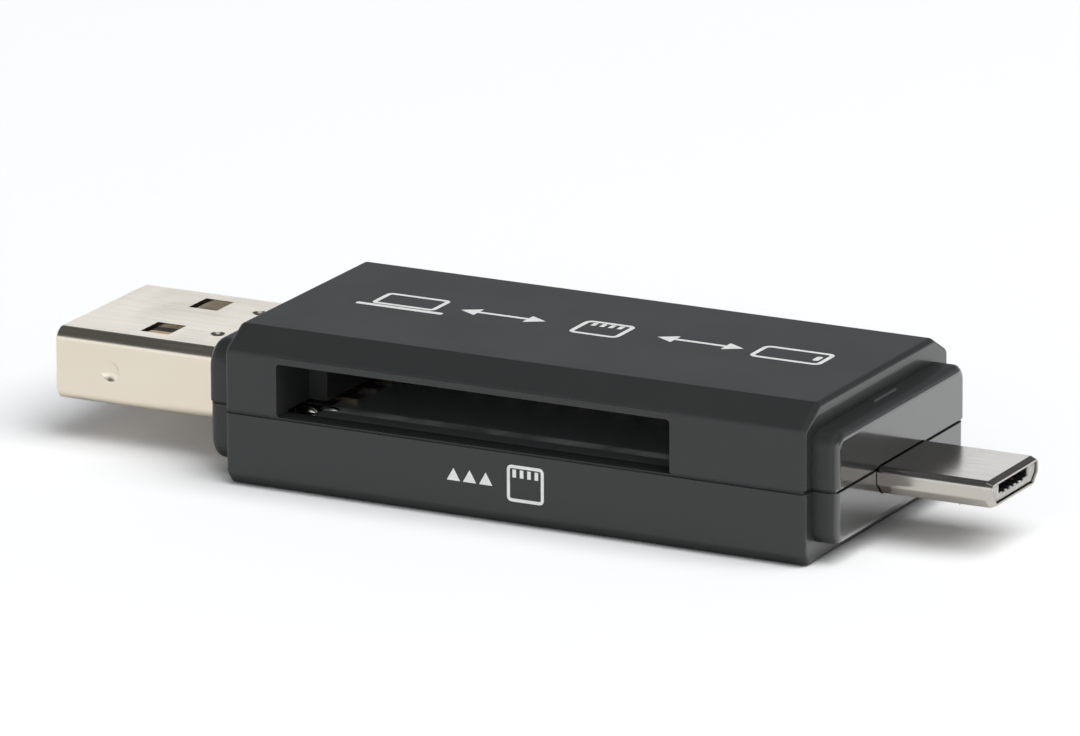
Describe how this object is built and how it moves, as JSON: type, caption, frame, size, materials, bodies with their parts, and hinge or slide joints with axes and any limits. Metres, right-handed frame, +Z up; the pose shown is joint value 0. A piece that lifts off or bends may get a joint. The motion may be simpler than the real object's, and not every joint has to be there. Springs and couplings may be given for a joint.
{
  "type": "usb memory card reader",
  "caption": "Pocket memory card reader: faceted two-half plastic housing with a USB-A plug at one end, a micro-USB plug at the other and card slots in its long sides.",
  "frame": {"origin": "middle of the housing's flat underside, on the surface it rests on", "axes": "+X along the housing to the micro-USB plug, -Y out of the large card slot, +Z up"},
  "size_m": [0.0628, 0.0198, 0.0098],
  "materials": {
    "housing_plastic": "fine satin texture outside, smoother on the collars",
    "plug_steel": "bright nickel plate with faint drawing lines",
    "contact_gold": "thin gold flash",
    "insulator_plastic": "moulded, slightly glossy",
    "pale_insulator": "moulded",
    "board_green": "glossy solder mask",
    "ceramic": "fired, with tinned ends"
  },
  "bodies": {
    "root": {"chip_capacitors": "ceramic", "chip_resistors": "ceramic", "circuit_board": "board_green", "controller_chip": "insulator_plastic", "lower_housing": "housing_plastic", "micro_sd_base": "insulator_plastic", "micro_sd_contact_1": "contact_gold", "micro_sd_contact_2": "contact_gold", "micro_sd_contact_3": "contact_gold", "micro_sd_contact_4": "contact_gold", "micro_sd_contact_5": "contact_gold", "micro_sd_contact_6": "contact_gold", "micro_sd_contact_7": "contact_gold", "micro_sd_contact_8": "contact_gold", "micro_sd_shell": "plug_steel", "micro_usb_contact_1": "contact_gold", "micro_usb_contact_2": "contact_gold", "micro_usb_contact_3": "contact_gold", "micro_usb_contact_4": "contact_gold", "micro_usb_contact_5": "contact_gold", "micro_usb_insulator": "pale_insulator", "micro_usb_latch_1": "plug_steel", "micro_usb_latch_2": "plug_steel", "micro_usb_shell": "plug_steel", "sd_contact_1": "contact_gold", "sd_contact_2": "contact_gold", "sd_contact_3": "contact_gold", "sd_contact_4": "contact_gold", "sd_contact_5": "contact_gold", "sd_contact_6": "contact_gold", "sd_contact_7": "contact_gold", "sd_contact_8": "contact_gold", "sd_contact_9": "contact_gold", "sd_contact_holder": "insulator_plastic", "upper_housing": "housing_plastic", "usb_a_contact_1": "contact_gold", "usb_a_contact_2": "contact_gold", "usb_a_contact_3": "contact_gold", "usb_a_contact_4": "contact_gold", "usb_a_insulator": "insulator_plastic", "usb_a_shell": "plug_steel"}
  },
  "joints": []
}
